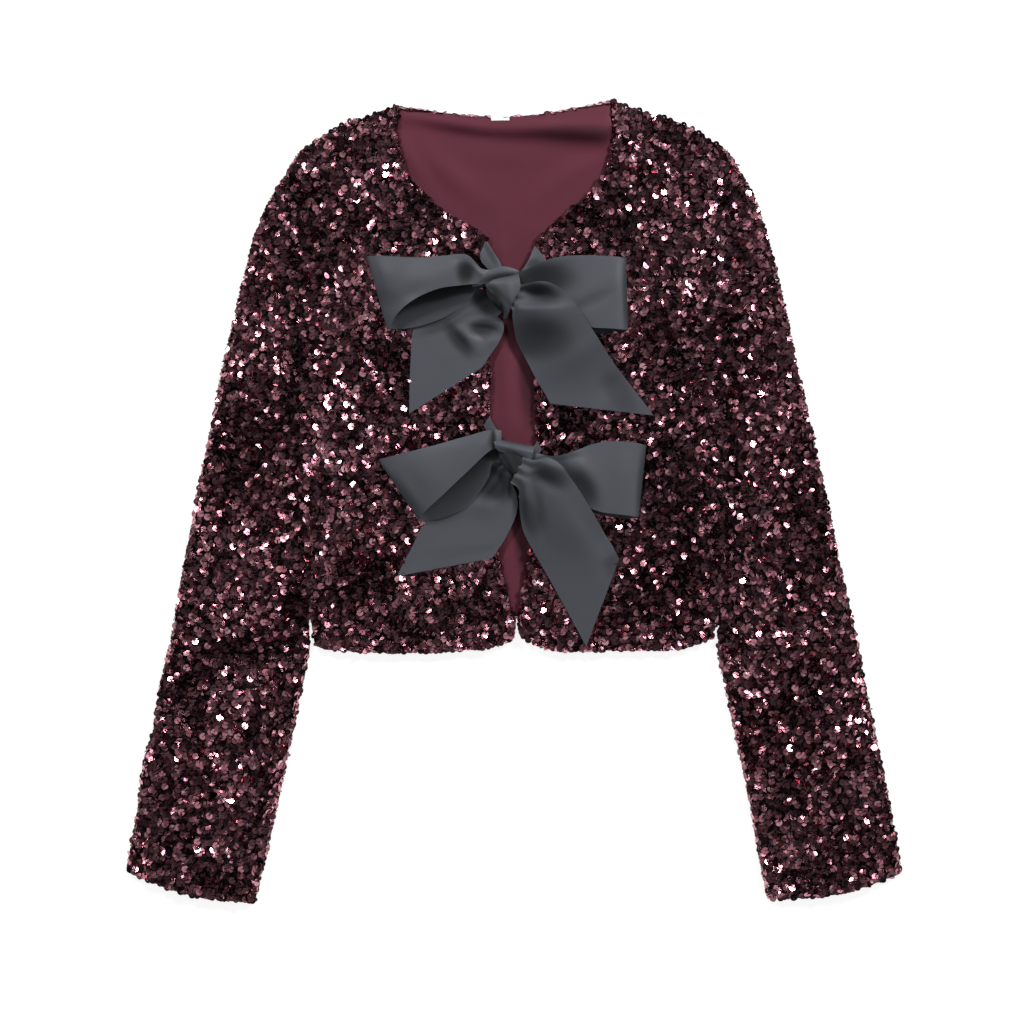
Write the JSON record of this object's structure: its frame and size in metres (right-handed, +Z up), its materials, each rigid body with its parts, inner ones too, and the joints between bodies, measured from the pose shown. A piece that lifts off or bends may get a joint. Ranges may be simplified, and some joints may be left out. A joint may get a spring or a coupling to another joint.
{
  "type": "cropped evening jacket",
  "caption": "Cropped round-neck jacket of sequinned cloth with long sleeves, open in front and tied with two wide ribbon bows, laid flat",
  "frame": {"origin": "centre of the bounding box at the surface that the jacket lies on", "axes": "+Z up, away from the surface; +Y from the hem to the neck; +X to the right of someone who looks down at the front"},
  "size_m": [0.675, 0.6995, 0.0233],
  "materials": {
    "sequined_cloth": "burgundy sequins sewn close on dark net",
    "wine_lining": "matt satin lining",
    "satin_ribbon": "charcoal-black satin ribbon",
    "label_tape": "blank white woven tape"
  },
  "bodies": {
    "root": {"back": "sequined_cloth", "back_lining": "wine_lining", "front_left": "sequined_cloth", "front_right": "sequined_cloth", "sleeve_left": "sequined_cloth", "sleeve_right": "sequined_cloth", "neck_label": "label_tape", "upper_loop_left": "satin_ribbon", "upper_loop_right": "satin_ribbon", "upper_tail_left": "satin_ribbon", "upper_tail_right": "satin_ribbon", "upper_tie_left": "satin_ribbon", "upper_tie_right": "satin_ribbon", "upper_knot": "satin_ribbon", "lower_loop_left": "satin_ribbon", "lower_loop_right": "satin_ribbon", "lower_tail_left": "satin_ribbon", "lower_tail_right": "satin_ribbon", "lower_tie_left": "satin_ribbon", "lower_tie_right": "satin_ribbon", "lower_knot": "satin_ribbon"}
  },
  "joints": []
}
